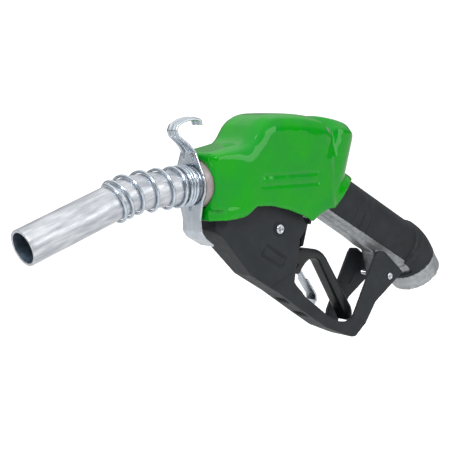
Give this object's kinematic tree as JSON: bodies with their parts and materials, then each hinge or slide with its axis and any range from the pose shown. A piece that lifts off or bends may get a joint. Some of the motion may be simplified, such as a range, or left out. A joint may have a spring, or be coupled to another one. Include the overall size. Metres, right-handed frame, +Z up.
{
  "type": "fuel nozzle",
  "caption": "Automatic shut-off fuel nozzle with bent spout, anchor spring, hook plate, dipped body cover, lever guard, sleeved handle and threaded hose inlet.",
  "frame": {"origin": "centre of the mouth of the hose inlet, where the hose swivel screws in", "axes": "+X runs from the spout back along the body to the hose end, +Z is up with the spout base level and the guard below, y = 0 is the mid plane"},
  "size_m": [0.4943, 0.059, 0.228],
  "materials": {
    "cast_alloy": "fine sand-cast grain",
    "turned_alloy": "machined",
    "drawn_alloy": "satin drawn tube",
    "green_vinyl": "dipped, glossy",
    "guard_nylon": "fine moulded grain",
    "grip_rubber": "soft matte",
    "lever_nylon": "smooth moulded",
    "zinc_sheet": "bright zinc plated",
    "zinc_pin": "zinc plated",
    "spring_wire": "bright drawn wire",
    "brass": "turned",
    "seal_rubber": "matte",
    "grey_nylon": "smooth moulded"
  },
  "bodies": {
    "body": {"body_casting": "cast_alloy", "valve_cap": "turned_alloy", "vacuum_cap": "turned_alloy", "spout_tube": "drawn_alloy", "body_cover": "green_vinyl", "lever_guard": "guard_nylon", "grip_cover": "grip_rubber", "hook_plate": "zinc_sheet", "front_guard_pin": "zinc_pin", "rear_guard_pin": "zinc_pin", "spout_screw": "zinc_pin", "vacuum_cap_screw_1": "zinc_pin", "vacuum_cap_screw_2": "zinc_pin", "vacuum_cap_screw_3": "zinc_pin", "vacuum_cap_screw_4": "zinc_pin", "anchor_spring": "spring_wire", "check_spring": "spring_wire", "main_spring": "spring_wire", "diaphragm_spring": "spring_wire", "plunger_spring": "spring_wire", "check_seat": "brass", "valve_seat": "brass", "packing_nut": "brass", "plunger_guide": "brass", "sensing_tube": "brass", "inlet_strainer": "brass", "spout_o_ring": "seal_rubber", "stem_packing": "seal_rubber", "valve_cap_gasket": "seal_rubber", "diaphragm": "seal_rubber", "spout_bushing": "grey_nylon", "check_guide": "grey_nylon"},
    "plunger": {"latch_plunger": "zinc_pin", "lever_pivot_pin": "zinc_pin"},
    "lever": {"lever": "lever_nylon", "clip_pin": "zinc_pin", "clip_spring": "spring_wire"},
    "clip": {"hold_open_clip": "zinc_sheet"},
    "main_valve": {"valve_stem": "zinc_pin", "main_poppet": "brass", "poppet_seal": "seal_rubber"},
    "check_valve": {"check_poppet": "brass"},
    "latch_pin": {"latch_pin": "zinc_pin"}
  },
  "joints": [
    {"name": "latch_trip", "type": "slide", "parent": "body", "child": "plunger", "axis": [-0.2079, 0, -0.9781], "range_m": [0, 0.006], "stiffness_N_per_m": 900, "springref_m": -0.006, "deforming": ["plunger_spring"]},
    {"name": "lever_squeeze", "type": "hinge", "parent": "plunger", "child": "lever", "pos_m": [-0.23527, 0, 0.06542], "axis": [0, -1, 0], "range_deg": [0, 12], "stiffness_Nm_per_rad": 0.8, "springref_deg": -34.38},
    {"name": "main_valve_lift", "type": "slide", "parent": "body", "child": "main_valve", "axis": [0.342, 0, 0.9397], "range_m": [0, 0.0143], "stiffness_N_per_m": 700, "springref_m": -0.004, "deforming": ["main_spring"]},
    {"name": "clip_swing", "type": "hinge", "parent": "lever", "child": "clip", "pos_m": [-0.18489, 0, 0.03928], "axis": [0, -1, 0], "range_deg": [0, 12], "stiffness_Nm_per_rad": 0.05, "springref_deg": -17.19},
    {"name": "check_valve_open", "type": "slide", "parent": "body", "child": "check_valve", "axis": [-1, 0, 0], "range_m": [0, 0.006], "stiffness_N_per_m": 250, "springref_m": -0.004, "deforming": ["check_spring"]},
    {"name": "diaphragm_lift", "type": "slide", "parent": "body", "child": "latch_pin", "axis": [0.2079, 0, 0.9781], "range_m": [0, 0.0025], "stiffness_N_per_m": 200, "springref_m": -0.003, "deforming": ["diaphragm_spring", "diaphragm"]}
  ],
  "couplings": [
    {"joint": "main_valve_lift", "follows": "lever_squeeze", "m_per_rad": 0.0672}
  ]
}
